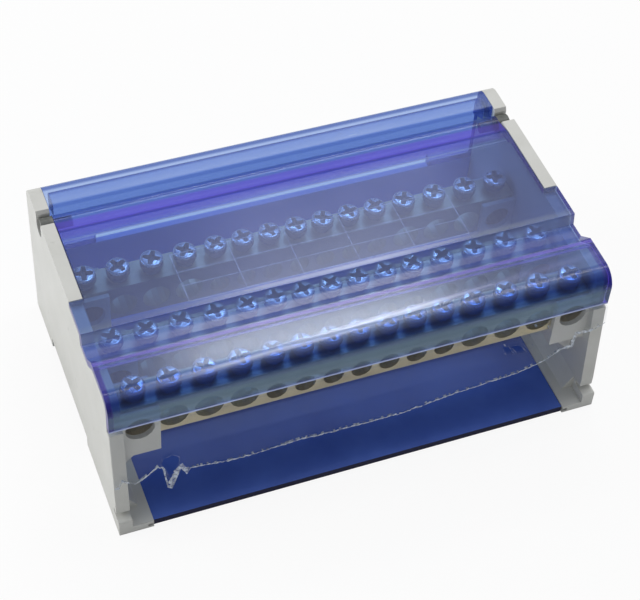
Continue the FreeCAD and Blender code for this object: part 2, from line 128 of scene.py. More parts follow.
SHEET_LOW_Z = 10.9
SHEET_TOP_Y = -37.15
SHEET_LOW_Y = -39.58
SHEET_THICKNESS = 0.8
FLANGE_REACH = 1.8
TOP_MARGIN = 0.01
SHIELD_SEED = 11

# Flat triangulation: triangles inside the lines only, and the distance that joins two points
TRIANGLES_INSIDE = 1
JOIN_DISTANCE = 0.0001

# Teeth of the tear in millimetres: spacing, heights to choose from and sideways share
TOOTH_STEP = 0.55
TOOTH_HEIGHTS = (0.08, 0.16, 0.30)
TOOTH_LEAN = 0.35

# White fracture: share of the broken walls that are frosted, and the band in front of the
# sheet in millimetres, with wider places as from, to, below this height, narrowest, widest
FROSTED_TEAR = 0.35
FROSTED_RIM = 0.10
FROST_LIFT = 0.06
HOLE_FROST = (0.0, 0.07)
FROST_WIDTHS = (0.26, 0.40, 0.58)
FROST_SPREAD = (0.7, 1.2)
FROST_PLACES = (
    (14.3, 18.4, 20.0, 1.1, 2.0),
    (10.5, 14.3, math.inf, 0.3, 0.6),
    (122.0, 131.0, math.inf, 0.5, 1.3),
)

# Slot low in the hood's rear wall, in millimetres: where its top edge is in the model, and
# how far that edge is raised
SLOT_WALL_Y = 39.0
SLOT_HALF_LENGTH = 50.2
SLOT_TOP_Z = 24.0
SLOT_MARGIN = 0.05
SLOT_RAISE = 1.0

# Printed table under the cover's skin, in millimetres, its rows as shares of its depth
COVER_SKIN = 1.8
GRID_X = (-38.5, 38.5)
GRID_Y = (-9.5, 7.0)
GRID_COLUMNS = 5
GRID_ROWS = (0.0, 0.33, 0.62, 1.0)
GRID_LINE = 0.26
GRID_GAP = 0.02

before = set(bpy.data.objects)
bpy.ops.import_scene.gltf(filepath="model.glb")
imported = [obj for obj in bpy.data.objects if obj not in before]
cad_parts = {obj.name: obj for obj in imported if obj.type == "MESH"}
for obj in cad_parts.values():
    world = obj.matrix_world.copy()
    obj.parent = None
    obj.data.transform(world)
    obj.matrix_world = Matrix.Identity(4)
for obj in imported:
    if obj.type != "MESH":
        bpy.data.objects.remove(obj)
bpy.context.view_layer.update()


# Node trees


class Shader:
    """Node tree of a material or world, with short ways to add and link its nodes."""

    def __init__(self, owner, output="ShaderNodeOutputMaterial"):
        owner.use_nodes = True
        self.owner = owner
        self.tree = owner.node_tree
        self.tree.nodes.clear()
        self.output = self.tree.nodes.new(output)

    def put(self, node, socket, value):
        """Set an input to a value, or link another node's output to it."""
        target = node.inputs[socket]
        if isinstance(value, bpy.types.NodeSocket):
            self.tree.links.new(value, target)
        else:
            target.default_value = value

    def add(self, kind, **sockets):
        """New node with the named inputs put, an underscore standing for a space."""
        node = self.tree.nodes.new(kind)
        for name, value in sockets.items():
            self.put(node, name.replace("_", " "), value)
        return node

    def finished(self, surface):
        """Link the surface to the output, and give the material or world."""
        self.put(self.output, "Surface", surface)
        return self.owner

    # Places and patterns

    def place(self):
        """Place in the object's own frame, in metres."""
        return self.add("ShaderNodeTexCoord").outputs["Object"]

    def facing(self):
        """Direction that the surface faces, in the object's own frame."""
        return self.add("ShaderNodeTexCoord").outputs["Normal"]

    def axis(self, vector, index):
        """One component of a vector."""
        return self.add("ShaderNodeSeparateXYZ", Vector=vector).outputs[index]

    def stretched(self, scale):
        """Place, scaled by axis."""
        return self.add("ShaderNodeMapping", Vector=self.place(), Scale=scale).outputs["Vector"]

    def noise(self, scale, detail=3.0, roughness=0.55, vector=None):
        """Soft random pattern, by default over the place itself."""
        node = self.add("ShaderNodeTexNoise", Vector=vector or self.place(), Scale=scale,
                        Detail=detail, Roughness=roughness)
        return node.outputs["Fac"]

    def bump(self, height, strength, distance):
        """Normal of a pattern's relief, with its depth in metres."""
        node = self.add("ShaderNodeBump", Height=height, Strength=strength, Distance=distance)
        return node.outputs["Normal"]

    # Values and masks

    def ramp(self, value, low, high, low_value=0.0, high_value=1.0):
        """Straight ramp between two values, level outside them."""
        node = self.add("ShaderNodeMapRange", Value=value, From_Min=low, From_Max=high,
                        To_Min=low_value, To_Max=high_value)
        return node.outputs["Result"]

    def fade(self, value, start, end, start_value=0.0, end_value=1.0):
        """Ramp between two places in millimetres."""
        return self.ramp(value, start * MM, end * MM, start_value, end_value)

    def band(self, value, low, high, soft):
        """One between two places in millimetres and zero outside them, with soft edges."""
        return self.overlap(self.fade(value, low - soft, low + soft),
                            self.fade(value, high - soft, high + soft, 1.0, 0.0))

    def math(self, operation, *values):
        """One operation on one or two values."""
        node = self.add("ShaderNodeMath")
        node.operation = operation
        for index, value in enumerate(values):
            self.put(node, index, value)
        return node.outputs["Value"]

    def overlap(self, mask, *others):
        """Product of masks: where they all hold."""
        for other in others:
            mask = self.math("MULTIPLY", mask, other)
        return mask

    def largest(self, mask, *others):
        """Largest of masks: where any of them holds."""
        for other in others:
            mask = self.math("MAXIMUM", mask, other)
        return mask

    def total(self, value, parts):
        """Value with a share of each mask added."""
        for mask, share in parts:
            value = self.math("ADD", value, self.math("MULTIPLY", mask, share))
        return value

    # Colours and surfaces

    def blend(self, factor, first, second):
        """Mix of two colours, each an output or three numbers."""
        node = self.add("ShaderNodeMix")
        node.data_type = "RGBA"
        factor_input, first_input, second_input, colour_output = 0, 6, 7, 2
        self.put(node, factor_input, factor)
        for index, colour in ((first_input, first), (second_input, second)):
            if not isinstance(colour, bpy.types.NodeSocket):
                colour = (*colour, 1.0)
            self.put(node, index, colour)
        return node.outputs[colour_output]

    def painted(self, colour, layers):
        """Colour with others laid over it, each by its mask."""
        for mask, over in layers:
            colour = self.blend(mask, colour, over)
        return colour

    def solid(self, **sockets):
        """Principled surface."""
        return self.add("ShaderNodeBsdfPrincipled", **sockets).outputs["BSDF"]

    def passed(self, **sockets):
        """Surface that lets light through unbent."""
        return self.add("ShaderNodeBsdfTransparent", **sockets).outputs["BSDF"]

    def layered(self, share, under, over):
        """Mix of two surfaces by the share of the second."""
        mix = self.add("ShaderNodeMixShader", Fac=share)
        self.put(mix, 1, under)
        self.put(mix, 2, over)
        return mix.outputs["Shader"]


def new_shader(name):
    """Shader of a new material."""
    return Shader(bpy.data.materials.new(name))


# Materials


def grey_plastic():
    """Light grey moulding with faint mottling, grime and a fine moulded grain."""
    shader = new_shader("grey_plastic")
    mottle = shader.noise(90.0, 4.0)
    grime = shader.ramp(shader.noise(260.0, 6.0, 0.7), 0.62, 0.72, 0.0, 0.35)
    grain = shader.noise(2600.0, 2.0)
    colour = shader.painted((0.60, 0.60, 0.565), (
        (shader.ramp(mottle, 0.35, 0.7), (0.66, 0.66, 0.63)),
        (grime, (0.36, 0.355, 0.33)),
    ))
    return shader.finished(shader.solid(
        Base_Color=colour, Roughness=shader.ramp(mottle, 0.3, 0.7, 0.38, 0.52),
        Normal=shader.bump(grain, 0.25, 0.00006), Specular_IOR_Level=0.4))


def mirror_share(shader, straight, grazing=0.6):
    """Share of light that a smooth surface mirrors, the same from either side."""
    weight = shader.add("ShaderNodeLayerWeight", Blend=0.5)
    power = shader.math("POWER", weight.outputs["Facing"], 4.0)
    return shader.ramp(power, 0.0, 1.0, straight, grazing)


def see_through(shader, tint, roughness, normal, haze_share, haze, straight):
    """Tinted see-through surface with a mirror layer and a share of milky haze."""
    gloss = shader.add("ShaderNodeBsdfAnisotropic", Color=WHITE, Roughness=roughness,
                       Normal=normal)
    clear = shader.layered(mirror_share(shader, straight), shader.passed(Color=tint),
                           gloss.outputs["BSDF"])
    return shader.finished(shader.layered(haze_share, clear, haze))


def seen_tint(shader, tint):
    """Full tint where the plastic is looked through, paler for the light that passes it."""
    path = shader.add("ShaderNodeLightPath")
    return shader.blend(path.outputs["Is Camera Ray"], LIGHT_TINT, tint)


def blue_see_through(shader, tint, haze_colour, haze, end_colour, straight, rough):
    """Blue plastic with clouded haze, fine scratches and deep-coloured cut ends."""
    clouds = shader.noise(35.0, 4.0)
    sideways = shader.math("ABSOLUTE", shader.axis(shader.facing(), X))
    ends = shader.math("GREATER_THAN", sideways, SQUARE_ON)
    scratches = shader.noise(260.0, 3.0, 0.55, shader.stretched((0.15, 1.0, 1.0)))
    roughness = shader.ramp(scratches, 0.4, 0.75, rough, rough + 0.05)
    milky = shader.solid(Base_Color=shader.blend(ends, haze_colour, end_colour),
                         Roughness=roughness)
    share = shader.overlap(haze, shader.ramp(clouds, 0.3, 0.7, 0.8, 1.2))
    share = shader.total(share, ((ends, END_HAZE),))
    tint = seen_tint(shader, shader.blend(ends, tint, end_colour))
    return see_through(shader, tint, roughness, shader.bump(clouds, 0.025, 0.0003), share,
                       milky, straight)


def cover_places(shader):
    """Masks, by name, of the places on the cover that differ from its plain skin."""
    place = shader.place()
    across, deep, tall = (shader.axis(place, index) for index in (X, Y, Z))
    front = shader.fade(deep, -31.0, -30.0, 1.0, 0.0)
    level_top = shader.fade(tall, 47.5, 47.9)
    groove = shader.band(deep, -23.9, -22.8, 0.25)
    lip = shader.overlap(shader.band(deep, -13.1, -11.4, 0.5), level_top)
    slanted = shader.math("SUBTRACT", deep, shader.math("MULTIPLY", across, RIDGE_SLANT))
    return {
        # Groove behind the front ridge, and with it the bevel towards the hinge
        "groove": groove,
        "violet": shader.largest(shader.band(deep, 22.2, 26.0, 0.4), groove),
        # Line where that bevel meets the level part
        "crease": shader.overlap(shader.band(deep, 20.6, 21.4, 0.15),
                                 shader.fade(tall, 46.5, 46.9, 1.0, 0.0)),
        # Step up to the level part: top edge darkened as painted shade, and painted glare on
        # the upright face and on the low strip in front of it
        "step": shader.overlap(shader.band(deep, -13.75, -13.30, 0.1),
                               shader.fade(tall, 47.2, 47.6)),
        "riser_glare": shader.overlap(shader.band(deep, -14.4, -13.0, 0.15),
                                shader.fade(tall, 44.3, 44.6)),
        "dip_glare": shader.overlap(shader.band(deep, -22.4, -13.2, 0.3),
                              shader.fade(tall, 46.9, 47.3, 1.0, 0.0)),
        # Front face: rounded corner at its top, darkened as painted shade, the face below it
        # and its lower edge
        "corner": shader.overlap(front, shader.band(tall, 44.5, 46.9, 0.6)),
        "lower": shader.overlap(front, shader.band(tall, 38.3, 43.4, 0.6)),
        "rim": shader.overlap(shader.fade(tall, 37.65, 38.05, 1.0, 0.0),
                              shader.fade(deep, -36.2, -35.9, 1.0, 0.0)),
        # Front ridge: painted glare along its top and behind it
        "ridge": shader.overlap(shader.band(slanted, -32.0, -30.4, 0.7),
                                shader.fade(tall, 46.6, 47.2),
                                shader.fade(across, -62.0, -35.0, 0.35, 1.0),
                                shader.fade(across, 20.0, 50.0, 1.0, 0.25)),
        "glare_behind_ridge": shader.overlap(shader.fade(deep, -32.0, -23.0, 1.0, 0.0),
                                  shader.fade(across, -62.0, -8.0),
                                  shader.fade(across, 8.0, 62.0, 1.0, 0.25),
                                  shader.fade(tall, 45.4, 46.6)),
        # Level part: painted glare on its front edge, brightest along part of its length,
        # painted glare over the part, and its right end darkened as painted shade
        "lip": lip,
        "lip_brightest_glare": shader.overlap(lip, shader.fade(across, -40.0, 2.0),
                                   shader.fade(across, 12.0, 40.0, 1.0, 0.15)),
        "level": shader.overlap(shader.fade(across, -42.0, -12.0),
                                shader.band(deep, -12.5, 20.5, 0.8), level_top,
                                shader.fade(across, 36.0, 54.0, 1.0, 0.0)),
        "far": shader.overlap(shader.fade(across, 40.0, 56.0),
                              shader.band(deep, -13.0, 20.5, 0.8)),
        # Side faces of the front part
        "side": shader.overlap(shader.fade(shader.math("ABSOLUTE", across), 66.0, 66.3),
                               shader.fade(deep, -22.0, -21.0, 1.0, 0.0)),
    }


def cover_blue():
    """Cover: violet bevel and groove, front corner darkened as painted shade, painted glare on
    the ridge and lip, and a milky front rim.
    """
    shader = new_shader("cover_blue")
    on = cover_places(shader)
    # Tint: the far right end and the front corner darkened as painted shade, and the step's top
    # edge as a dark line of painted shade
    tint = shader.painted((0.50, 0.63, 0.82), (
        (on["violet"], (0.47, 0.44, 0.83)),
        (on["far"], (0.41, 0.50, 0.70)),
        (on["corner"], (0.14, 0.27, 0.66)),
        (on["step"], (0.09, 0.11, 0.30)),
        (on["side"], (0.26, 0.20, 0.66)),
    ))
    # Pale haze: painted glare on the ridge, the lip, the band behind the ridge, the step's
    # upright face and the level part, with the milky rim and crease
    pale = shader.largest(on["rim"], on["crease"], on["ridge"], on["lip"], on["glare_behind_ridge"],
                          on["riser_glare"], shader.math("MULTIPLY", on["level"], 0.35))
    haze_colour = shader.painted((0.26, 0.30, 0.90), (
        (on["violet"], (0.24, 0.18, 0.92)),
        (pale, (0.65, 0.72, 0.98)),
        (on["lower"], (0.20, 0.33, 0.42)),
        (on["corner"], (0.05, 0.12, 0.60)),
    ))
    haze = shader.total(0.075, (
        (on["violet"], 0.20), (on["groove"], 0.10), (on["rim"], 0.60), (on["crease"], 0.20),
        (on["ridge"], 0.34), (on["riser_glare"], 0.26), (on["lower"], 0.28),
    ))
    # Less haze on the front corner, to keep its painted shade dark
    haze = shader.overlap(haze, shader.ramp(on["corner"], 0.0, 1.0, 1.0, 0.35))
    # More painted glare: behind the ridge, over the level part, on the low strip and along the
    # brightest length of the lip
    haze = shader.total(haze, (
        (on["glare_behind_ridge"], 0.07), (on["level"], 0.10), (on["dip_glare"], 0.13), (on["lip_brightest_glare"], 0.30),
    ))
    return blue_see_through(shader, tint, haze_colour, haze, (0.05, 0.03, 0.33), 0.022, 0.14)


def hood_blue():
    """Hood: rear top corner darkened as painted shade, dark front edge, and painted glare that
    pales the top towards that edge.
    """
    shader = new_shader("hood_blue")
    place = shader.place()
    deep, tall = shader.axis(place, Y), shader.axis(place, Z)
    # Painted shade at the rear top corner
    corner = shader.overlap(shader.fade(deep, 37.0, 38.0), shader.fade(tall, 43.8, 44.6))
    edge = shader.overlap(shader.band(deep, 31.4, 31.9, 0.1), shader.fade(tall, 46.5, 47.0))
    # Painted glare, paling the top towards its front edge
    pale = shader.overlap(shader.fade(deep, 39.5, 33.0), shader.fade(tall, 47.6, 47.9),
                          shader.fade(deep, 31.9, 32.3))
    tint = shader.painted((0.50, 0.52, 0.84), (
        (shader.fade(tall, 30.0, 33.0), (0.62, 0.71, 0.90)),
        (corner, (0.36, 0.45, 0.71)),
        (edge, (0.45, 0.55, 0.80)),
    ))
    haze_colour = shader.blend(pale, (0.20, 0.28, 0.85), (0.60, 0.74, 1.0))
    haze = shader.total(0.03, ((pale, 0.16),))
    return blue_see_through(shader, tint, haze_colour, haze, (0.10, 0.16, 0.55), 0.012, 0.26)


def clear_sheet():
    """Clear plastic with a faint smeary haze."""
    shader = new_shader("clear_sheet")
    smear = shader.noise(60.0, 5.0, 0.6, shader.stretched((0.6, 1.0, 1.6)))
    roughness = shader.ramp(smear, 0.35, 0.7, 0.08, 0.22)
    milky = shader.solid(Base_Color=(0.34, 0.40, 0.52, 1.0), Roughness=roughness)
    tint = shader.blend(smear, (0.97, 0.97, 0.975), (0.98, 0.985, 0.99))
    return see_through(shader, tint, roughness, shader.bump(smear, 0.05, 0.0003),
                       shader.ramp(smear, 0.3, 0.75, 0.002, 0.010), milky, 0.005)


def torn_edge():
    """Frosted white fracture of the clear sheet, patchy and partly clear."""
    shader = new_shader("torn_edge")
    grain = shader.noise(1500.0, 4.0)
    colour = shader.blend(shader.ramp(grain, 0.3, 0.7), (0.46, 0.52, 0.60), (0.82, 0.88, 0.96))
    frost = shader.solid(Base_Color=colour, Roughness=0.55,
                         Normal=shader.bump(grain, 0.5, 0.0002))
    patches = shader.ramp(shader.noise(900.0, 3.0), 0.38, 0.60, 0.25, 0.95)
    return shader.finished(shader.layered(patches, shader.passed(), frost))


def blue_base():
    """Satin blue moulding of floor and latches: front edge darkened as painted shade, and
    painted light brightening the inside of the rear.
    """
    shader = new_shader("blue_base")
    clouds = shader.noise(45.0, 4.0)
    deep = shader.axis(shader.place(), Y)
    facing = shader.facing()
    rearward, upward = shader.axis(facing, Y), shader.axis(facing, Z)
    # Painted shade: the front faces along the front edge nearly black
    front_face_shade = shader.overlap(shader.math("LESS_THAN", rearward, -SQUARE_ON),
                                shader.fade(deep, -36.5, -36.0, 1.0, 0.0))
    # Painted light: faces that look up or towards the front, inside the rear, made brighter
    inward = shader.largest(upward, shader.math("MULTIPLY", rearward, -1.0))
    inner = shader.overlap(shader.math("GREATER_THAN", inward, SQUARE_ON),
                           shader.fade(deep, 22.0, 30.0))
    colour = shader.painted((0.056, 0.115, 0.470), (
        (shader.ramp(clouds, 0.3, 0.7), (0.086, 0.168, 0.590)),
        (front_face_shade, (0.012, 0.012, 0.050)),
        (inner, (0.17, 0.31, 0.88)),
    ))
    return shader.finished(shader.solid(
        Base_Color=colour, Roughness=shader.ramp(clouds, 0.3, 0.7, 0.30, 0.42),
        Normal=shader.bump(clouds, 0.06, 0.0004), Specular_IOR_Level=0.22))


def brass():
    """Drawn brass bar, lightly tarnished and brushed along its length."""
    shader = new_shader("brass")
    strokes = shader.noise(900.0, 3.0, 0.6, shader.stretched((0.03, 1.0, 1.0)))
    tarnish = shader.ramp(shader.noise(120.0, 5.0), 0.45, 0.75, 0.0, 0.6)
    colour = shader.blend(tarnish, (0.60, 0.53, 0.36), (0.40, 0.35, 0.25))
    return shader.finished(shader.solid(
        Base_Color=colour, Roughness=shader.ramp(strokes, 0.3, 0.7, 0.30, 0.46),
        Normal=shader.bump(strokes, 0.25, 0.0001), Metallic=0.85))


def plated_steel():
    """Bright zinc-plated steel of the screw heads."""
    shader = new_shader("plated_steel")
    blot = shader.noise(500.0, 4.0)
    colour = shader.blend(shader.ramp(blot, 0.4, 0.7), (0.90, 0.91, 0.92), (0.78, 0.79, 0.80))
    return shader.finished(shader.solid(
        Base_Color=colour, Roughness=shader.ramp(blot, 0.3, 0.7, 0.2, 0.3),
        Normal=shader.bump(blot, 0.05, 0.00004), Metallic=0.9))


def shaded_steel(name, low, high):
    """Steel darkened as painted shade inside the cross recess, on the side of the head and on
    the shank.
    """
    shader = new_shader(name)
    colour = shader.blend(shader.noise(700.0, 3.0), (low, low, low + 0.01),
                          (high, high, high + 0.01))
    return shader.finished(shader.solid(Base_Color=colour, Roughness=0.6))


def dark_pin():
    """Hinge pin: dark grey as painted shade in the wall's slot, see-through blue inside the
    cover's barrel.
    """
    shader = new_shader("dark_pin")
    worn = shader.noise(400.0, 4.0)
    colour = shader.blend(shader.ramp(worn, 0.4, 0.7), (0.07, 0.075, 0.07), (0.16, 0.165, 0.15))
    pin = shader.solid(Base_Color=colour, Roughness=0.4, Normal=shader.bump(worn, 0.2, 0.0001))
    outwards = shader.math("ABSOLUTE", shader.axis(shader.place(), X))
    return shader.finished(shader.layered(shader.fade(outwards, 63.5, 63.7, 0.12, 1.0),
                                          shader.passed(Color=(0.80, 0.86, 0.95, 1.0)), pin))


def pale_ink():
    """Pale, worn print."""
    shader = new_shader("pale_ink")
    worn = shader.ramp(shader.noise(900.0, 4.0), 0.35, 0.6, 0.50, 0.95)
    ink = shader.solid(Base_Color=(1.0, 0.84, 0.72, 1.0), Roughness=0.6)
    return shader.finished(shader.layered(worn, shader.passed(), ink))


# Pieces


def new_object(name, mesh, *materials):
    """Object with this mesh and these material slots."""
    for material in materials:
        mesh.materials.append(material)
    piece = bpy.data.objects.new(name, mesh)
    bpy.context.scene.collection.objects.link(piece)
    return piece


def new_mesh(name, bm):
    """Mesh of a finished bmesh, which is freed."""
    mesh = bpy.data.meshes.new(name)
    bm.to_mesh(mesh)
    bm.free()
    return mesh


def terminal_places():
    """Each terminal's x in millimetres, and whether it is large."""
    sizes = [True] * LARGE_PER_END + [False] * SMALL_COUNT + [True] * LARGE_PER_END
    places = [0.0]
    for before, after in zip(sizes, sizes[1:]):
        step = MIXED_PITCH
        if before == after:
            step = LARGE_PITCH if after else SMALL_PITCH
        places.append(places[-1] + step)
    middle = places[-1] / 2.0
    return [(x - middle, large) for x, large in zip(places, sizes)]


def turned(x, y, angle):
    """Flat point turned about the origin."""
    return x * math.cos(angle) - y * math.sin(angle), x * math.sin(angle) + y * math.cos(angle)


def lathe(bm, outline, centre, steps, turn):
    """Rings of a turned form from (radius, height) points, open at the axis ends."""
    rings = []
    for radius, z in outline:
        ring = []
        for index in range(steps):
            angle = turn + 2.0 * math.pi * index / steps
            ring.append(bm.verts.new((centre[0] + radius * math.cos(angle),
                                      centre[1] + radius * math.sin(angle),
                                      centre[2] + z)))
        rings.append(ring)
    for low, high in zip(rings, rings[1:]):
        for index in range(steps):
            after = (index + 1) % steps
            bm.faces.new((low[index], low[after], high[after], high[index]))
    return rings


def shade_ring(ring):
    """Give the faces at a ring the second material, the steel darkened as painted shade."""
    for vert in ring:
        for face in vert.link_faces:
            face.material_index = 1


def cross_outline(head):
    """Cross recess for a head of this radius, with flared roots between its arms."""
    reach, half, root = (head * share for share in
                         (RECESS_REACH, RECESS_HALF_WIDTH, RECESS_ROOT))
    arm = ((reach, -half), (reach * RECESS_TIP, 0.0), (reach, half), (root, root))
    return [turned(along, across, quarter * math.pi / 2.0)
            for quarter in range(4) for along, across in arm]


def add_head(bm, centre, large, turn):
    """Pan head with a rounded rim and a cross recess."""
    head = HEAD_RADIUS[large] * MM
    tall = HEAD_HEIGHT * MM
    outline = [(SHANK_RADIUS[large] * MM * SHANK_NECK, 0.0)]
    outline += [(head * wide, tall * high) for wide, high in HEAD_OUTLINE]
    rings = lathe(bm, outline, centre, HEAD_STEPS, turn)
    # The side of the head takes the steel darkened as painted shade
    shade_ring(rings[SHADED_HEAD_RING])
    cut = [turned(x, y, turn) for x, y in cross_outline(head)]
    top = [bm.verts.new((centre[0] + x, centre[1] + y, centre[2] + tall)) for x, y in cut]
    floor = [bm.verts.new((centre[0] + x * RECESS_FLOOR_SHARE,
                           centre[1] + y * RECESS_FLOOR_SHARE,
                           centre[2] + tall * RECESS_FLOOR_HEIGHT)) for x, y in cut]
    share = HEAD_STEPS // len(cut)
    for index in range(len(cut)):
        after = (index + 1) % len(cut)
        # Recess walls and floor take the steel darkened as painted shade
        wall = bm.faces.new((top[index], top[after], floor[after], floor[index]))
        wall.material_index = 1
        first = (index - 1) * share
        fan = [rings[-1][(first + step) % HEAD_STEPS] for step in range(share + 1)]
        bm.faces.new([top[after], top[index]] + fan)
    bm.faces.new(floor).material_index = 1


def add_shank(bm, centre, large, turn):
    """Threaded shank, hanging from the head."""
    shank = SHANK_RADIUS[large] * MM
    length = SHANK_LENGTH[large] * MM
    pitch = THREAD_PITCH * MM
    z = -THREAD_START * MM
    outline = [(shank * SHANK_NECK, 0.0), (shank * THREAD_ROOT, z)]
    while z > -length + pitch:
        outline += [(shank, z - pitch * 0.5), (shank * THREAD_ROOT, z - pitch)]
        z -= pitch
    outline += [(shank * wide, -length * low) for wide, low in SHANK_END]
    rings = lathe(bm, outline[::-1], centre, SHANK_STEPS, turn)
    # The whole shank takes the steel darkened as painted shade
    for ring in rings:
        shade_ring(ring)
    bm.faces.new(rings[0][::-1])


def screws(row, large, material, recess, rng):
    """One row's screws of one size, each at its own angle."""
    bm = bmesh.new()
    for x, is_large in terminal_places():
        angle = rng.uniform(0.0, math.pi / 2.0)
        if is_large != large:
            continue
        centre = (x * MM, BAR_Y[row] * MM, (BAR_TOP[row] + HEAD_LIFT) * MM)
        add_head(bm, centre, large, angle)
        add_shank(bm, centre, large, angle)
    bmesh.ops.recalc_face_normals(bm, faces=bm.faces)
    size = "large" if large else "small"
    mesh = new_mesh(size + "_screw_set_" + BAR_NAMES[row], bm)
    for face in mesh.polygons:
        face.use_smooth = True
    mesh.set_sharp_from_angle(angle=math.radians(SHARP_ANGLE))
    piece = new_object(mesh.name, mesh, material, recess)
    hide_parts(size + "_screws_" + BAR_NAMES[row])
    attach(piece, "housing")


def segments(points, closed=True):
    """Each point with the one after it."""
    return zip(points, points[1:] + points[:1] if closed else points[1:])


def clockwise(outline):
    """True if a closed outline turns clockwise."""
    return sum(x0 * z1 - x1 * z0 for (x0, z0), (x1, z1) in segments(outline)) < 0.0


def inside(point, outline):
    """True if a flat point lies inside a closed outline."""
    x, z = point
    found = False
    for (x0, z0), (x1, z1) in segments(outline):
        if (z0 > z) != (z1 > z) and x < x0 + (z - z0) * (x1 - x0) / (z1 - z0):
            found = not found
    return found


def ragged(points, closed, rng):
    """Line through the chosen points, joined by a fine random zigzag."""
    line = []
    for (x0, z0), (x1, z1) in segments(points, closed):
        steps = max(int(math.hypot(x1 - x0, z1 - z0) / TOOTH_STEP), 1)
        for step in range(steps):
            share = step / steps
            tooth = rng.choice(TOOTH_HEIGHTS) * rng.uniform(-1.0, 1.0) if step else 0.0
            line.append((x0 + (x1 - x0) * share - HALF_LENGTH + tooth * TOOTH_LEAN,
                         z0 + (z1 - z0) * share + tooth))
    if not closed:
        line.append((points[-1][0] - HALF_LENGTH, points[-1][1]))
    return line


def shifted(line, distance):
    """Line moved to its left, as it runs, by averaged normals."""
    moved = []
    for index, (x, z) in enumerate(line):
        before = line[max(index - 1, 0)]
        after = line[min(index + 1, len(line) - 1)]
        run, rise = after[0] - before[0], after[1] - before[1]
        size = math.hypot(run, rise) or 1.0
        moved.append((x - distance * rise / size, z + distance * run / size))
    return moved


def sheet_point(x, z, depth):
    """Point on the leaning sheet, depth behind its front face, in metres."""
    lean = (SHEET_TOP_Y - SHEET_LOW_Y) / (SHEET_TOP_Z - SHEET_LOW_Z)
    y = SHEET_LOW_Y + lean * (z - SHEET_LOW_Z) + depth
    return Vector((x * MM, y * MM, z * MM))


def rounded(x, z):
    """Point rounded to a tenth, to find it again in the mesh."""
    return round(x, 1), round(z, 1)


def sheet_triangles(outline, holes):
    """Flat points and triangles that fill the outline and leave the holes open."""
    points = []
    edges = []
    for loop in [outline] + holes:
        start = len(points)
        points += [Vector(point) for point in loop]
        edges += [(start + i, start + (i + 1) % len(loop)) for i in range(len(loop))]
    flat, _, triangles = delaunay_2d_cdt(points, edges, [], TRIANGLES_INSIDE,
                                         JOIN_DISTANCE)[:3]
    kept = []
    for triangle in triangles:
        middle = sum((flat[i] for i in triangle), Vector((0.0, 0.0))) / 3.0
        if inside(middle, outline) and not any(inside(middle, hole) for hole in holes):
            kept.append(triangle)
    return flat, kept


def add_flange(bm):
    """Narrow flange behind the sheet's top, over the full length."""
    front = SHEET_TOP_Y + SHEET_THICKNESS
    corners = [bm.verts.new((x * MM, y * MM, z * MM))
               for x in (-HALF_LENGTH, HALF_LENGTH) for y in (front, front + FLANGE_REACH)
               for z in (SHEET_TOP_Z - SHEET_THICKNESS, SHEET_TOP_Z)]
    for side in ((0, 1, 3, 2), (4, 6, 7, 5), (0, 4, 5, 1), (2, 3, 7, 6), (0, 2, 6, 4),
                 (1, 5, 7, 3)):
        bm.faces.new([corners[index] for index in side])


def shield_mesh(lower, holes, rng):
    """Clear sheet with a torn lower edge and ragged holes, some of its broken walls frosted."""
    outline = lower + [(HALF_LENGTH, SHEET_TOP_Z), (-HALF_LENGTH, SHEET_TOP_Z)]
    flat, triangles = sheet_triangles(outline, holes)
    rims = {rounded(x, z) for hole in holes for x, z in hole}
    bm = bmesh.new()
    front = [bm.verts.new(sheet_point(p.x, p.y, 0.0)) for p in flat]
    back = [bm.verts.new(sheet_point(p.x, p.y, SHEET_THICKNESS)) for p in flat]
    for a, b, c in triangles:
        bm.faces.new((front[a], front[b], front[c]))
        bm.faces.new((back[c], back[b], back[a]))
    partner = dict(zip(front, back))
    for edge in [e for e in bm.edges if e.is_boundary and e.verts[0] in partner]:
        first, second = edge.verts
        wall = bm.faces.new((first, second, partner[second], partner[first]))
        torn = max(first.co.z, second.co.z) < (SHEET_TOP_Z - TOP_MARGIN) * MM
        on_rim = rounded(first.co.x / MM, first.co.z / MM) in rims
        share = FROSTED_RIM if on_rim else FROSTED_TEAR
        wall.material_index = 1 if torn and rng.random() < share else 0
    add_flange(bm)
    bmesh.ops.recalc_face_normals(bm, faces=bm.faces)
    return new_mesh("broken_shield", bm)


def frost_width(x, z, closed, rng):
    """Width of the white band, widest on the hanging shard at the left."""
    if closed:
        return rng.uniform(*HOLE_FROST)
    for start, end, top, narrow, wide in FROST_PLACES:
        if start < x < end and z < top:
            return rng.uniform(narrow, wide)
    return rng.choice(FROST_WIDTHS) * rng.uniform(*FROST_SPREAD)


def frost_mesh(lower, holes, rng):
    """White band just in front of the sheet, along the tear and the holes."""
    bm = bmesh.new()
    for line, closed in [(lower, False)] + [(hole, True) for hole in holes]:
        side = -1.0 if closed and not clockwise(line) else 1.0
        widths = [frost_width(x + HALF_LENGTH, z, closed, rng) for x, z in line]
        edge = [bm.verts.new(sheet_point(x, z, -FROST_LIFT)) for x, z in line]
        inner = [bm.verts.new(sheet_point(x + (to_x - x) * width,
                                          min(z + (to_z - z) * width, SHEET_TOP_Z),
                                          -FROST_LIFT))
                 for (x, z), (to_x, to_z), width in zip(line, shifted(line, side), widths)]
        for index in range(len(line) if closed else len(line) - 1):
            after = (index + 1) % len(line)
            bm.faces.new((edge[index], edge[after], inner[after], inner[index]))
    return new_mesh("frosted_break", bm)


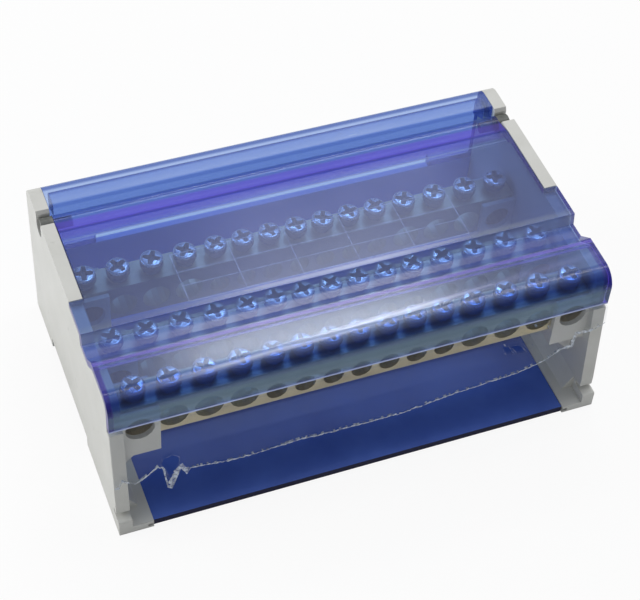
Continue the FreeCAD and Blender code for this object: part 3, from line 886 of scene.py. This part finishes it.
def broken_shield(clear, frosted):
    """Clear shield, broken off along its lower edge, and the white line of the break."""
    rng = random.Random(SHIELD_SEED)
    lower = ragged(TORN_EDGE, False, rng)
    holes = [ragged(hole, True, rng) for hole in HOLES]
    piece = new_object("broken_shield", shield_mesh(lower, holes, rng), clear, frosted)
    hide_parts("front_shield")
    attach(piece, "housing")
    white_line = new_object("frosted_break", frost_mesh(lower, holes, rng), frosted)
    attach(white_line, "housing")


def open_slot_hood(material):
    """Hood from its own solid, with the rear slot's top edge raised to the height seen."""
    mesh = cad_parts["rear_hood"].data.copy()
    mesh.name = "slotted_hood"
    mesh.materials.clear()
    for vertex in mesh.vertices:
        x, y, z = vertex.co / MM
        if y > SLOT_WALL_Y and abs(x) < SLOT_HALF_LENGTH and abs(z - SLOT_TOP_Z) < SLOT_MARGIN:
            vertex.co.z += SLOT_RAISE * MM
    piece = new_object("slotted_hood", mesh, material)
    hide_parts("rear_hood")
    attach(piece, "housing")


def printed_grid(material):
    """Plain table of thin ruled lines under the cover's level part."""
    left, right = GRID_X
    front, rear = GRID_Y
    half = GRID_LINE / 2.0
    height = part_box("hinged_cover")[1].z - COVER_SKIN * MM - GRID_GAP * MM
    lines = []
    for index in range(GRID_COLUMNS + 1):
        x = left + (right - left) * index / GRID_COLUMNS
        lines.append((x - half, x + half, front, rear))
    for share in GRID_ROWS:
        y = front + (rear - front) * share
        lines.append((left, right, y - half, y + half))
    bm = bmesh.new()
    for x0, x1, y0, y1 in lines:
        corners = ((x0, y0), (x1, y0), (x1, y1), (x0, y1))
        bm.faces.new([bm.verts.new((x * MM, y * MM, height)) for x, y in corners])
    piece = new_object("printed_grid", new_mesh("printed_grid", bm), material)
    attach(piece, "cover")


# Setting


def studio_floor():
    """Pale floor that shows near white to the camera and keeps the object's shadow."""
    shader = new_shader("studio_floor")
    pale = shader.solid(Base_Color=FLOOR_GREY, Roughness=0.9)
    glow = shader.add("ShaderNodeEmission", Strength=1.0)
    path = shader.add("ShaderNodeLightPath")
    seen = shader.largest(path.outputs["Is Camera Ray"], path.outputs["Is Transmission Ray"])
    material = shader.finished(shader.layered(shader.math("MULTIPLY", seen, FLOOR_WHITE_SHARE),
                                              pale, glow.outputs["Emission"]))
    bm = bmesh.new()
    corners = ((-1.0, -1.0), (1.0, -1.0), (1.0, 1.0), (-1.0, 1.0))
    bm.faces.new([bm.verts.new((x * FLOOR_HALF, y * FLOOR_HALF, -FLOOR_DROP))
                  for x, y in corners])
    floor = new_object("studio_floor", new_mesh("studio_floor", bm), material)


def studio_world():
    """Soft pale light from all round, white where the camera looks past the floor."""
    world = bpy.data.worlds.new("studio_world")
    shader = Shader(world, "ShaderNodeOutputWorld")
    soft = shader.add("ShaderNodeBackground", Color=WORLD_COLOUR, Strength=WORLD_STRENGTH)
    white = shader.add("ShaderNodeBackground", Color=WHITE, Strength=1.0)
    path = shader.add("ShaderNodeLightPath")
    bpy.context.scene.world = shader.finished(shader.layered(
        path.outputs["Is Camera Ray"], soft.outputs["Background"],
        white.outputs["Background"]))


def aimed(name, data, place, aim, roll=0.0):
    """Lamp or camera at a place in metres, looking at another, rolled by some degrees."""
    thing = bpy.data.objects.new(name, data)
    bpy.context.scene.collection.objects.link(thing)
    thing.location = place
    thing.rotation_mode = "QUATERNION"
    level = (Vector(aim) - Vector(place)).normalized().to_track_quat("-Z", "Y")
    thing.rotation_quaternion = level @ Quaternion((0.0, 0.0, 1.0), math.radians(roll))
    return thing


def lamp(name, place, aim, size, power):
    """Rectangular area lamp."""
    data = bpy.data.lights.new(name, "AREA")
    data.shape = "RECTANGLE"
    data.size, data.size_y = size
    data.energy = power
    aimed(name, data, place, aim)


def camera():
    """Camera at the photograph's viewing angle."""
    data = bpy.data.cameras.new("camera")
    data.lens = CAMERA_LENS
    data.sensor_width = CAMERA_SENSOR
    data.clip_start, data.clip_end = CAMERA_CLIP
    bpy.context.scene.camera = aimed("camera", data, Vector(CAMERA_PLACE) * MM,
                                     Vector(CAMERA_AIM) * MM, CAMERA_ROLL)


# Assembly


def dress(nodes, material):
    """Give CAD nodes their material."""
    for name in nodes:
        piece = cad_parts[name]
        piece.data.materials.clear()
        piece.data.materials.append(material)


def main():
    dress(("left_end_wall", "right_end_wall"), grey_plastic())
    dress(("hinged_cover",), cover_blue())
    open_slot_hood(hood_blue())
    dress(("base_tray", "rail_latch_left", "rail_latch_right"), blue_base())
    dress(("hinge_pin_left", "hinge_pin_right"), dark_pin())
    dress(["busbar_" + name for name in BAR_NAMES], brass())
    steel = plated_steel()
    # Steel darkened as painted shade, lighter on the front row than on the two rows further in
    front_recess = shaded_steel("front_shaded_steel", 0.34, 0.50)
    inner_recess = shaded_steel("shaded_steel", 0.20, 0.32)
    rng = random.Random(SCREW_SEED)
    for row, recess in enumerate((front_recess, inner_recess, inner_recess)):
        for large in (True, False):
            screws(row, large, steel, recess, rng)
    broken_shield(clear_sheet(), torn_edge())
    printed_grid(pale_ink())
    studio_floor()
    studio_world()
    camera()
    for values in LAMPS:
        lamp(*values)
    bpy.context.scene.view_settings.view_transform = "Standard"


main()
